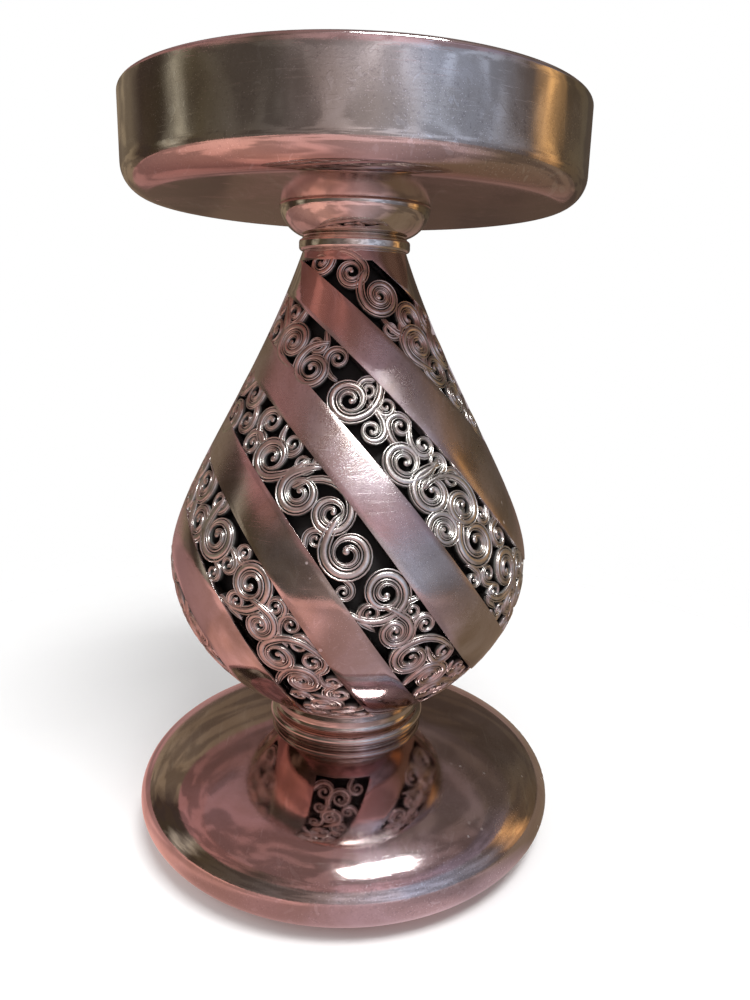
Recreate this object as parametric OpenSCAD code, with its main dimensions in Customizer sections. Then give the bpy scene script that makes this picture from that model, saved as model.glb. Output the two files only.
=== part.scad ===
// Pillar candle stand: shallow cup on a bowl knob, pierced pear body with
// spiral scroll strips between plain diagonal bands, low domed foot.
// Millimetres, +Z up, origin at the centre of the foot's underside.

/* [Overall] */
// full height of the stand
stand_h = 158; // [150:1:170]

/* [Cup] */
// outside diameter of the cup
cup_d = 93.2; // [86:0.2:100]
// height of the cup from underside to rim
cup_h = 18.5; // [15:0.5:24]
// thickness of the cup's side wall
cup_wall = 1.8; // [1.2:0.1:2.6]
// thickness of the cup's floor
cup_floor = 2.2; // [1.6:0.1:3]
// outside radius of the cup's bottom corner
cup_corner_r = 5.3; // [3:0.1:7]

/* [Knob and neck] */
// diameter of the bowl knob where it meets the cup
knob_d = 31.6; // [28:0.2:36]
// height of the bowl knob
knob_h = 6.5; // [5.5:0.1:8]
// diameter of the dark groove under the knob
groove_d = 22; // [21:0.2:23]
// diameter of the polished neck ring
neck_ring_d = 23.4; // [23:0.2:26]
// height of the neck ring
neck_ring_h = 2.4; // [1.8:0.1:3]

/* [Pear body] */
// largest diameter of the pear body
pear_d = 79.6; // [74:0.2:84]
// height of the widest part as a share of the pear's height
widest_share = 0.34; // [0.32:0.001:0.37]
// diameter of the pear where it meets the neck ring
pear_top_d = 21.8; // [21:0.2:22.6]
// diameter of the pear where it meets the lower collar
pear_foot_d = 32; // [30:0.5:34]
// wall thickness of the cast shell halves
shell_wall = 1.7; // [1.3:0.1:2.2]
// width of each plain upright edge where the halves meet
stile_w = 3.2; // [2.4:0.1:5]

/* [Scroll strips] */
// width of a scroll strip across the front, as a share of the pear's diameter
strip_share = 0.1785; // [0.16:0.0005:0.19]
// distance from one strip to the next across the front, as a share of the diameter
pitch_share = 0.318; // [0.31:0.001:0.33]
// number of large scrolls in the five strips, from the top one down
scrolls_in_strip = [7, 14, 15, 11, 6];
// diameter of a large scroll as a share of the distance between two of them
scroll_share = 0.9; // [0.82:0.01:0.93]
// diameter of a small curl as a share of a large scroll
curl_share = 0.54; // [0.46:0.01:0.6]
// sideways offset of the large scrolls as a share of their distance
offset_share = 0.2; // [0.18:0.01:0.24]
// full thickness of a scroll plate with its ridge
scroll_t = 1.7; // [1.3:0.1:2]
// height of the spiral ridge above the scroll plate
ridge_h = 0.5; // [0.3:0.05:0.7]
// width of the spiral ridge
ridge_w = 0.75; // [0.6:0.05:0.9]
// distance between neighbouring turns of the ridge
ridge_pitch = 1.25; // [1.15:0.05:1.5]

/* [Lower collar] */
// diameter of the bright bead that rests on the dome
bead_d = 36.4; // [35:0.2:38]
// diameter of the collar's foot on the dome
collar_foot_d = 34; // [33:0.2:35]
// height of the collar's foot above the table
collar_foot_z = 24.2; // [23:0.1:25]
// height of the collar, from the dome to the pear
collar_h = 7; // [6:0.1:8]

/* [Foot] */
// diameter of the foot
foot_d = 96.8; // [92:0.2:104]
// height of the foot's widest edge above the table
foot_edge_z = 8.4; // [7:0.1:10]
// sheet thickness of the foot
foot_wall = 1.4; // [1:0.1:2]
// thickness of the felt pad
felt_t = 1.2; // [0.8:0.1:2]
// distance of the felt pad from the foot's widest edge
felt_inset = 11.1; // [9:0.5:14]
// thickness of the cast weight
weight_h = 6.5; // [5:0.5:8]

/* [Tie bolt] */
// diameter of the tie bolt
bolt_d = 6; // [5:0.5:7]
// diameter of the bolt's flat head
bolt_head_d = 12; // [11:0.5:14]
// width across the flats of the nut
nut_af = 10; // [9:0.5:11]
// height of the nut
nut_h = 4; // [3:0.5:4]
// radial clearance of the bolt in its holes
bolt_gap = 0.2; // [0.1:0.05:0.4]

/* [Hidden] */
// longest chord error of a drawn circle follows from this count
$fn = 96;
// overlap used where a cut must pass through a face
cut = 0.5;
// heights of the stacked joints
cup_z = stand_h - cup_h;
knob_z = cup_z - knob_h;
pear_top_z = knob_z - neck_ring_h;
pear_foot_z = collar_foot_z + collar_h;
pear_h = pear_top_z - pear_foot_z;
pear_widest_z = pear_foot_z + widest_share * pear_h;
strip_w = strip_share * pear_d;
strip_pitch = pitch_share * pear_d;
// half angle, at the axis, taken by one upright edge of a shell half
stile_a = atan(stile_w / pear_d * 2);
window_a = 90 - stile_a;
// plain rings left above and below the windows
window_top_z = pear_top_z - 2.2;
window_foot_z = pear_foot_z + 1.8;
window_rows = 34;
window_columns = 4;
// set-back and thickness of the black inner core
core_gap = 3.2;
core_wall = 0.9;
// plain brim of a scroll plate outside its ridge
scroll_brim = 0.5;
// how far a ridge reaches down into its plate
ridge_root = 0.25;
// least gap between a scroll's plate and its curl's
plate_gap = 0.2;
// flat bar that carries the scrolls: width, thickness and depth under the pear
vine_w = 1.6;
vine_t = 0.55;
vine_depth = 0.8;
// its places for each scroll, and how far short of a strip's end it stops
vine_steps = 3;
vine_end = 0.2;
strips_per_half = 5;

// cubic curve through four control points
function bez(a, b, c, d, t) =
    a * pow(1 - t, 3) + 3 * b * t * pow(1 - t, 2) + 3 * c * t * t * (1 - t) + d * pow(t, 3);

// outline of the pear as [radius, height], from the foot up to the neck
pear_steps = 12;
pear_low_h = pear_widest_z - pear_foot_z;
pear_high_h = pear_top_z - pear_widest_z;
pear_low = [for (i = [0 : pear_steps - 1])
    bez([pear_foot_d / 2, pear_foot_z], [pear_foot_d * 0.703, pear_foot_z + 0.086 * pear_low_h],
        [pear_d / 2, pear_widest_z - 0.571 * pear_low_h], [pear_d / 2, pear_widest_z], i / pear_steps)];
pear_high = [for (i = [0 : pear_steps])
    bez([pear_d / 2, pear_widest_z], [pear_d / 2, pear_widest_z + 0.2134 * pear_high_h],
        [pear_top_d, pear_top_z - 0.4573 * pear_high_h], [pear_top_d / 2, pear_top_z], i / pear_steps)];
pear_line = concat(pear_low, pear_high);
pear_table = [for (p = pear_line) [p[1], p[0]]];

// radius of the pear at a height, and its slope there
function pear_r(z) = lookup(z, pear_table);
function pear_slope(z) = (pear_r(z + 1) - pear_r(z - 1)) / 2;
// unit normal of the outline as [radial, upward]
function outline_n(z) = [1, -pear_slope(z)] / norm([1, pear_slope(z)]);
// point at an azimuth (0 = front), height and depth under the surface
function on_pear(a, z, depth) =
    let (n = outline_n(z), r = pear_r(z) - depth * n[0])
    [r * sin(a), -r * cos(a), z - depth * n[1]];

// left edge of the middle strip as seen from the front: its place, slope and bend at
// half the pear's height, as shares of the pear's radius
edge_place = 0.3306;
edge_slope = -2.0677;
edge_bend = -1.0923;
function edge_x(z) =
    let (v = (z - pear_foot_z) / pear_h - 0.5) pear_d / 2 * (edge_place + edge_slope * v + edge_bend * v * v);
// azimuth of a front-view position, held inside the upright edges
function azimuth(x, z) =
    let (s = x / pear_r(z), m = sin(window_a)) asin(max(-m, min(m, s)));
function left_a(k, z) = azimuth(edge_x(z) + k * strip_pitch, z);
function right_a(k, z) = azimuth(edge_x(z) + k * strip_pitch + strip_w, z);

// heights at which strip k has at least the least width of a window
least_window_a = 3;
fine_z = [for (i = [0 : 200]) window_foot_z + (window_top_z - window_foot_z) * i / 200];
function open_z(k) = [for (z = fine_z) if (right_a(k, z) - left_a(k, z) > least_window_a) z];
function window_levels(k) =
    let (o = open_z(k), a = o[0], b = o[len(o) - 1], n = ceil((b - a) / pear_h * window_rows))
    [for (i = [0 : n]) a + (b - a) * i / n];

// closed block through the wall in the shape of window k
module window_block(k, inner, outer) {
    zs = window_levels(k);
    n = len(zs);
    // points round one level: across the outside, then back along the inside
    m = window_columns;
    ring = 2 * (m + 1);
    function across(z, j) = left_a(k, z) + (right_a(k, z) - left_a(k, z)) * j / m;
    pts = [for (z = zs) each concat(
        [for (j = [0 : m]) on_pear(across(z, j), z, -outer)],
        [for (j = [m : -1 : 0]) on_pear(across(z, j), z, inner)])];
    sides = [for (i = [0 : n - 2], j = [0 : ring - 1]) each
        let (a = ring * i + j, b = ring * i + (j + 1) % ring) [[a, b + ring, b], [a, a + ring, b + ring]]];
    function lid(base, up) = [for (j = [0 : m - 1]) each
        let (a = base + j, b = base + j + 1, c = base + ring - 2 - j, d = base + ring - 1 - j)
        up ? [[a, c, b], [a, d, c]] : [[a, b, c], [a, c, d]]];
    polyhedron(pts, concat(sides, lid(0, false), lid(ring * (n - 1), true)));
}

// a line moved sideways: to the right of its direction of travel where d is positive
function shifted(line, d) = [for (i = [0 : len(line) - 1])
    let (a = line[max(i - 1, 0)], b = line[min(i + 1, len(line) - 1)], t = (b - a) / norm(b - a))
    line[i] + d * [t[1], -t[0]]];
function reversed(line) = [for (i = [len(line) - 1 : -1 : 0]) line[i]];
// a line carried straight on past both of its ends
function extended(line, d) =
    let (n = len(line), a = line[0] - line[1], b = line[n - 1] - line[n - 2])
    concat([line[0] + a * d / norm(a)], line, [line[n - 1] + b * d / norm(b)]);
function arc(centre, r, from, to, n) =
    [for (i = [0 : n]) let (a = from + (to - from) * i / n) centre + r * [cos(a), sin(a)]];

// pear wall of a given thickness and depth, over a half turn or a whole one
module pear_wall(depth, thick, turn) {
    long_line = extended(pear_line, 8);
    intersection() {
        rotate_extrude(angle = turn, start = 180)
            polygon(concat(shifted(long_line, -depth), reversed(shifted(long_line, -depth - thick))));
        translate([0, 0, pear_foot_z]) cylinder(h = pear_h, r = pear_d);
    }
}

module shell_half() {
    color("silver") difference() {
        pear_wall(0, shell_wall, 180);
        for (i = [0 : strips_per_half - 1]) window_block(1 - i, shell_wall + 1, 1);
    }
}
module body_front() shell_half();
module body_back() rotate([0, 0, 180]) shell_half();

// puts a flat piece on the pear: its own +Z outward, +Y uphill
module on_surface(a, z, depth) {
    n = outline_n(z);
    translate(on_pear(a, z, depth)) rotate([0, 0, a])
        rotate([90 - atan2(n[1], n[0]), 0, 0]) children();
}

// flat spiral ribbon of half turns, each smaller by half a pitch than the last
module spiral(r) {
    step = ridge_pitch / 2;
    turns = floor((r - ridge_w * 1.2) / step);
    for (i = [0 : turns]) {
        q = r - i * step;
        up = i % 2 == 0;
        translate([up ? 0 : -step, 0]) intersection() {
            difference() {
                circle(q);
                circle(q - ridge_w);
            }
            translate([-r, up ? 0 : -r]) square([2 * r, r]);
        }
    }
    translate([-step / 2, 0]) circle(ridge_w);
}
// round scroll plate with its raised spiral, sunk flush with the pear
module scroll(hand, d) {
    translate([0, 0, -scroll_t]) {
        cylinder(h = scroll_t - ridge_h, d = d);
        translate([0, 0, scroll_t - ridge_h - ridge_root]) linear_extrude(ridge_h + ridge_root)
            mirror([0, hand > 0 ? 0 : 1]) spiral(d / 2 - scroll_brim);
    }
}

// middle line of a strip from its lower end, and the distance along it
function mid_a(k, z) = (left_a(k, z) + right_a(k, z)) / 2;
function mid_points(k) = [for (z = window_levels(k)) on_pear(mid_a(k, z), z, 0)];
function run_lengths(pts, i = 0, sum = 0) = i >= len(pts) ? [] :
    let (s = i == 0 ? 0 : sum + norm(pts[i] - pts[i - 1])) concat([s], run_lengths(pts, i + 1, s));
function run_table(k) =
    let (zs = window_levels(k), s = run_lengths(mid_points(k))) [for (i = [0 : len(zs) - 1]) [s[i], zs[i]]];
// millimetres on the surface to degrees round the axis
function degrees(x, z) = x / pear_r(z) * 180 / PI;
function climb(z) = norm([1, pear_slope(z)]);
// heading of a strip's middle line on the surface, from level towards uphill
function heading(k, z) =
    atan2(2 * climb(z), (mid_a(k, z + 1) - mid_a(k, z - 1)) * pear_r(z) * PI / 180);
// half the strip's width on the surface, square to its middle line
function half_w(k, z) = (right_a(k, z) - left_a(k, z)) / 2 * PI / 180 * pear_r(z) * sin(heading(k, z));
// place [azimuth, height] at a sideways distance from the middle line
function beside(k, z, side) =
    let (h = heading(k, z)) [mid_a(k, z) - degrees(side * sin(h), z), z + side * cos(h) / climb(z)];

// flat bar under the surface along a line of [azimuth, height] places
module vine(line) {
    n = len(line);
    function side_step(i) =
        let (a = line[max(i - 1, 0)], b = line[min(i + 1, n - 1)], z = line[i][1],
            t = [(b[0] - a[0]) * pear_r(z) * PI / 180, (b[1] - a[1]) * climb(z)])
        [degrees(t[1], z), -t[0] / climb(z)] / norm(t) * vine_w / 2;
    pts = [for (i = [0 : n - 1]) each
        let (l = line[i] - side_step(i), r = line[i] + side_step(i))
        [on_pear(l[0], l[1], vine_depth), on_pear(r[0], r[1], vine_depth),
            on_pear(r[0], r[1], vine_depth + vine_t), on_pear(l[0], l[1], vine_depth + vine_t)]];
    sides = [for (i = [0 : n - 2], j = [0 : 3]) each
        let (a = 4 * i + j, b = 4 * i + (j + 1) % 4) [[a, b + 4, b], [a, a + 4, b + 4]]];
    last = 4 * (n - 1);
    polyhedron(pts, concat(sides, [[0, 1, 2], [0, 2, 3]],
        [[last, last + 2, last + 1], [last, last + 3, last + 2]]));
}

module scroll_strip(k) {
    table = run_table(k);
    count = scrolls_in_strip[1 - k];
    step = table[len(table) - 1][0] / count;
    // distance between two scrolls that sway to opposite sides
    reach = step * norm([1, 2 * offset_share]);
    scroll_d = scroll_share * reach;
    offset = offset_share * step;
    // place on the strip, t scrolls up from its lower end
    function level(t) = lookup(t * step, table);
    color("gainsboro") intersection() {
        union() {
            vine([for (t = [vine_end : 1 / vine_steps : count - vine_end])
                beside(k, level(t), offset * cos(180 * (t - 0.5)))]);
            for (i = [0 : count - 1]) {
                hand = i % 2 == 0 ? 1 : -1;
                z = level(i + 0.5);
                room = half_w(k, z) + offset - scroll_d / 2;
                small_d = max(curl_share * scroll_d, min(scroll_d, room));
                near_side = (scroll_d + small_d) / 2 + plate_gap - offset;
                small_side = -hand * max(near_side, half_w(k, z) - small_d / 2);
                big = beside(k, z, hand * offset);
                small = beside(k, z, small_side);
                vine([for (u = [0 : 0.25 : 1]) beside(k, z, hand * offset * (1 - u) + small_side * u)]);
                on_surface(big[0], big[1], 0) rotate([0, 0, heading(k, z)]) scroll(hand, scroll_d);
                on_surface(small[0], small[1], 0) rotate([0, 0, heading(k, z)]) scroll(-hand, small_d);
            }
        }
        window_block(k, shell_wall + 1, 1);
    }
}
module scroll_front_1() scroll_strip(1);
module scroll_front_2() scroll_strip(0);
module scroll_front_3() scroll_strip(-1);
module scroll_front_4() scroll_strip(-2);
module scroll_front_5() scroll_strip(-3);
module scroll_back_1() rotate([0, 0, 180]) scroll_strip(1);
module scroll_back_2() rotate([0, 0, 180]) scroll_strip(0);
module scroll_back_3() rotate([0, 0, 180]) scroll_strip(-1);
module scroll_back_4() rotate([0, 0, 180]) scroll_strip(-2);
module scroll_back_5() rotate([0, 0, 180]) scroll_strip(-3);

module inner_core() color("black") pear_wall(core_gap, core_wall, 360);

module bolt_hole(z, h) {
    translate([0, 0, z - cut]) cylinder(h = h + 2 * cut, d = bolt_d + 2 * bolt_gap);
}

module cup() {
    r = cup_d / 2;
    inner_r = r - cup_wall;
    inner_corner_r = cup_corner_r - cup_floor;
    floor_z = cup_z + cup_floor;
    rim_r = cup_wall / 2;
    color("silver") difference() {
        rotate_extrude() polygon(concat(
            [[0, cup_z]],
            arc([r - cup_corner_r, cup_z + cup_corner_r], cup_corner_r, -90, 0, 8),
            arc([r - rim_r, stand_h - rim_r], rim_r, 0, 180, 8),
            arc([inner_r - inner_corner_r, floor_z + inner_corner_r], inner_corner_r, 0, -90, 6),
            [[0, floor_z]]));
        bolt_hole(cup_z, cup_floor);
        head_cone(bolt_gap);
    }
}
module head_cone(gap) {
    head_h = (bolt_head_d - bolt_d) / 2;
    translate([0, 0, cup_z + cup_floor - head_h])
        cylinder(h = head_h + gap, d1 = bolt_d + gap, d2 = bolt_head_d + 3 * gap);
}

module knob() {
    lip = 0.7;
    color("silver") difference() {
        rotate_extrude() polygon(concat(
            [[0, knob_z], [groove_d / 2, knob_z], [groove_d / 2, knob_z + lip]],
            [for (i = [0 : 12]) bez([groove_d / 2 + 0.2, knob_z + lip],
                [groove_d / 2 + 1.9, knob_z + lip + 0.4], [knob_d / 2, knob_z + 0.52 * knob_h],
                [knob_d / 2, cup_z], i / 12)],
            [[0, cup_z]]));
        bolt_hole(knob_z, knob_h);
        head_cone(bolt_gap);
    }
}

module neck_ring() {
    r = neck_ring_d / 2;
    round_r = neck_ring_h * 0.3;
    color("silver") difference() {
        rotate_extrude() polygon(concat(
            [[0, pear_top_z]],
            arc([r - round_r, pear_top_z + round_r], round_r, -90, 0, 5),
            arc([r - round_r, knob_z - round_r], round_r, 0, 90, 5),
            [[0, knob_z]]));
        bolt_hole(pear_top_z, neck_ring_h);
    }
}

module lower_collar() {
    bead_r = 1.5;
    groove_h = 0.3;
    bead_z = collar_foot_z + groove_h + bead_r;
    foot_r = collar_foot_d / 2;
    top_r = pear_foot_d / 2;
    // the cove sweeps in from the bead and up to the pear
    cove_foot = [bead_d / 2 - bead_r, bead_z + bead_r];
    color("silver") difference() {
        rotate_extrude() polygon(concat(
            [[0, collar_foot_z], [foot_r, collar_foot_z], [foot_r, collar_foot_z + groove_h]],
            arc([bead_d / 2 - bead_r, bead_z], bead_r, -80, 90, 8),
            [for (t = [0.125 : 0.125 : 1]) bez(cove_foot, [cove_foot[0] - 0.9, cove_foot[1] + 0.3],
                [top_r - 0.3, pear_foot_z - 1.5], [top_r, pear_foot_z], t)],
            [[0, pear_foot_z]]));
        bolt_hole(collar_foot_z, collar_h);
    }
}

// outline of the foot from its flat middle, over the edge, to the turned-in lip
foot_r = foot_d / 2;
felt_r = foot_r - felt_inset;
// inner edge of the turned-in lip beside the felt, and where the lip starts to turn
lip_gap = 2.6;
lip_bend = 1.7;
lip_r = felt_r + lip_gap;
lip_bend_r = lip_r + lip_bend;
foot_line = concat(
    [[0, collar_foot_z], [collar_foot_d / 2 - 1, collar_foot_z]],
    [for (t = [0 : 0.1 : 1]) bez([collar_foot_d / 2 + 1, collar_foot_z - 0.2], [foot_r * 0.863, foot_edge_z + 11.2],
        [foot_r, foot_edge_z + 5.2], [foot_r, foot_edge_z], t)],
    [for (t = [0.125 : 0.125 : 1]) bez([foot_r, foot_edge_z], [foot_r, foot_edge_z * 0.6],
        [foot_r * 0.92, felt_t + 0.6], [lip_bend_r, felt_t], t)],
    [[lip_r, felt_t]]);
module foot_shell() {
    color("silver") difference() {
        rotate_extrude() polygon(concat(foot_line, reversed(shifted(foot_line, foot_wall))));
        bolt_hole(collar_foot_z - foot_wall, foot_wall);
    }
}

washer_t = 1;
washer_d = 15;
nut_z = felt_t + 0.4;
well_top = nut_z + nut_h + washer_t;
module foot_weight() {
    boss_d = 18;
    well_d = 19;
    lip_top = felt_t + foot_wall;
    color("dimgray") difference() {
        union() {
            translate([0, 0, felt_t]) cylinder(h = weight_h, r = lip_r - 0.4);
            translate([0, 0, lip_top]) cylinder(h = weight_h - foot_wall, r = lip_r + 1.6);
            translate([0, 0, lip_top]) cylinder(h = collar_foot_z - foot_wall - lip_top, d = boss_d);
        }
        translate([0, 0, felt_t - cut]) cylinder(h = well_top - felt_t + cut, d = well_d);
        bolt_hole(felt_t, collar_foot_z - felt_t);
    }
}
module washer() {
    color("lightgray") difference() {
        translate([0, 0, nut_z + nut_h]) cylinder(h = washer_t, d = washer_d);
        bolt_hole(nut_z + nut_h, washer_t);
    }
}
module nut() {
    color("lightgray") difference() {
        translate([0, 0, nut_z]) cylinder(h = nut_h, d = nut_af / cos(30), $fn = 6);
        translate([0, 0, nut_z - cut]) cylinder(h = nut_h + 2 * cut, d = bolt_d);
    }
}
module tie_bolt() {
    head_h = (bolt_head_d - bolt_d) / 2;
    chamfer = 0.6;
    end_z = nut_z - 0.2;
    color("lightgray") {
        translate([0, 0, end_z]) cylinder(h = chamfer, d1 = bolt_d - 2 * chamfer, d2 = bolt_d);
        translate([0, 0, end_z + chamfer])
            cylinder(h = cup_z + cup_floor - head_h - end_z - chamfer, d = bolt_d);
        translate([0, 0, cup_z + cup_floor - head_h])
            cylinder(h = head_h, d1 = bolt_d, d2 = bolt_head_d);
    }
}
module felt_pad() color("darkgreen") cylinder(h = felt_t, r = felt_r);

cup();
knob();
neck_ring();
body_front();
body_back();
scroll_front_1();
scroll_front_2();
scroll_front_3();
scroll_front_4();
scroll_front_5();
scroll_back_1();
scroll_back_2();
scroll_back_3();
scroll_back_4();
scroll_back_5();
inner_core();
lower_collar();
foot_shell();
foot_weight();
washer();
nut();
tie_bolt();
felt_pad();
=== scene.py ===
import math
import random

import bmesh
import bpy
from mathutils import Matrix, Vector


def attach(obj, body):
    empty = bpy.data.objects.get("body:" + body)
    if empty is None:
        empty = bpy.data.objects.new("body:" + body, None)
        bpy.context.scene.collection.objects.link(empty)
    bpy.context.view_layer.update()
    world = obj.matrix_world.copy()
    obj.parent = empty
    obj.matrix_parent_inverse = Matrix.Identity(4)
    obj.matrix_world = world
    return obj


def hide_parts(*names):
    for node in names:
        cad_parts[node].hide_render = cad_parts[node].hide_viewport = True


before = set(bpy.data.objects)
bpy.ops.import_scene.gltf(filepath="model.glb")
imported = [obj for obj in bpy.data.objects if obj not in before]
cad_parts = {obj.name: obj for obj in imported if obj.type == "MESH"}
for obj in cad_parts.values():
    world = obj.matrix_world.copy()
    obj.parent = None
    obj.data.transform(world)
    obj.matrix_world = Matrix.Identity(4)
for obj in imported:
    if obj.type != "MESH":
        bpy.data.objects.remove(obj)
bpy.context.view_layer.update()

MM = 0.001
TURN = 2 * math.pi
SAME = 1e-6  # places closer than this are one

# ---------------------------------------------------------------- sizes, mm
CUP_Z = 139.5
STAND_H = 158.0
CUP_R = 46.6
CUP_WALL = 1.8
CUP_FLOOR = 2.2
CUP_CORNER_R = 5.3
KNOB_Z = 133.0
KNOB_R = 15.8
GROOVE_R = 11.0
NECK_RING_R = 11.7
PEAR_TOP_Z = 130.6
PEAR_TOP_R = 10.9
PEAR_R = 39.8
PEAR_WIDEST_Z = 65.0
PEAR_FOOT_Z = 31.2
PEAR_FOOT_R = 16.0
SHELL_WALL = 1.7
COLLAR_Z = 24.2
COLLAR_FOOT_R = 17.0
BEAD_R = 18.2
FOOT_R = 48.4
FOOT_EDGE_Z = 8.4
FOOT_WALL = 1.4
FELT_T = 1.2
LIP_R = 39.9
LIP_BEND_R = 41.6
BOLT_HOLE_R = 3.2
BOLT_HEAD_R = 6.3
STRIP_W = 14.2
STRIP_PITCH = 25.3
STILE_W = 3.2
WINDOW_A = math.radians(90) - math.atan(STILE_W / PEAR_R)
WINDOW_TOP_Z = PEAR_TOP_Z - 2.2
WINDOW_FOOT_Z = PEAR_FOOT_Z + 1.8
CORE_DEPTH = 3.2
CORE_WALL = 0.9
STRIPS = (1, 0, -1, -2, -3)
# the middle strip's left edge seen from the front: place, slope and bend at a height
EDGE_Z, EDGE_X, EDGE_SLOPE, EDGE_BEND = 80, 13.9, -0.82, -0.0044


# ------------------------------------------------------------- pear surface
def bez(a, b, c, d, t):
    """Point of a cubic curve through the plane, from four control points."""
    u = 1 - t
    return tuple(
        a[i] * u**3 + 3 * b[i] * t * u * u + 3 * c[i] * t * t * u + d[i] * t**3
        for i in range(2)
    )


def curve(a, b, c, d, n, first=0):
    """Points of a cubic curve in n steps, from step `first` on."""
    return [bez(a, b, c, d, i / n) for i in range(first, n + 1)]


PEAR_LINE = curve(
    (PEAR_FOOT_R, PEAR_FOOT_Z), (PEAR_FOOT_R * 1.406, PEAR_FOOT_Z + 2.9),
    (PEAR_R, PEAR_WIDEST_Z - 19.3), (PEAR_R, PEAR_WIDEST_Z), 60,
) + curve(
    (PEAR_R, PEAR_WIDEST_Z), (PEAR_R, PEAR_WIDEST_Z + 14),
    (PEAR_TOP_R * 2, PEAR_TOP_Z - 30), (PEAR_TOP_R, PEAR_TOP_Z), 90, 1,
)


def pear_r(z):
    """Radius of the pear at a height, straight on past both ends."""
    line = PEAR_LINE
    lo, hi = 0, len(line) - 2  # the stretch that holds z, found by halving
    while lo < hi:
        mid = (lo + hi + 1) // 2
        lo, hi = (mid, hi) if line[mid][1] <= z else (lo, mid - 1)
    (r0, z0), (r1, z1) = line[lo], line[lo + 1]
    return r0 + (r1 - r0) * (z - z0) / (z1 - z0)


def pear_slope(z):
    """Change of the pear's radius with height."""
    step = 0.7
    return (pear_r(z + step) - pear_r(z - step)) / (2 * step)


def on_pear(a, z, height=0.0):
    """Point at azimuth a (0 = front), height z, and a height over the surface."""
    s = pear_slope(z)
    n = math.hypot(1, s)
    r = pear_r(z) + height / n
    return Vector((r * math.sin(a), -r * math.cos(a), z - height * s / n)) * MM


def edge_x(z):
    """Left edge of the middle strip as seen from the front."""
    return EDGE_X + EDGE_SLOPE * (z - EDGE_Z) + EDGE_BEND * (z - EDGE_Z) ** 2


def azimuth(x, z):
    """Azimuth of a place x seen from the front, held inside the upright edges."""
    most = math.sin(WINDOW_A)
    return math.asin(max(-most, min(most, x / pear_r(z))))


def strip_edges(k, z):
    """Azimuths of both edges of strip k."""
    x = edge_x(z) + k * STRIP_PITCH
    return azimuth(x, z), azimuth(x + STRIP_W, z)


def mid_a(k, z):
    """Azimuth of strip k's middle line."""
    return sum(strip_edges(k, z)) / 2


def heading(k, z):
    """Direction of a strip's middle line on the surface, uphill."""
    across = (mid_a(k, z + 1) - mid_a(k, z - 1)) * pear_r(z)
    return math.atan2(2 * math.hypot(1, pear_slope(z)), across)


# ------------------------------------------------------------- shader maths
class Value:
    """One socket of a material, with arithmetic that adds Math nodes."""

    def __init__(self, paint, socket):
        self.paint, self.socket = paint, socket

    def _math(self, kind, a, b):
        n = self.paint.node("ShaderNodeMath", {"operation": kind}, {0: a, 1: b})
        return Value(self.paint, n.outputs[0])

    def __add__(self, o):
        return self._math("ADD", self, o)

    def __radd__(self, o):
        return self._math("ADD", o, self)

    def __sub__(self, o):
        return self._math("SUBTRACT", self, o)

    def __rsub__(self, o):
        return self._math("SUBTRACT", o, self)

    def __mul__(self, o):
        return self._math("MULTIPLY", self, o)

    def __rmul__(self, o):
        return self._math("MULTIPLY", o, self)


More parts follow.
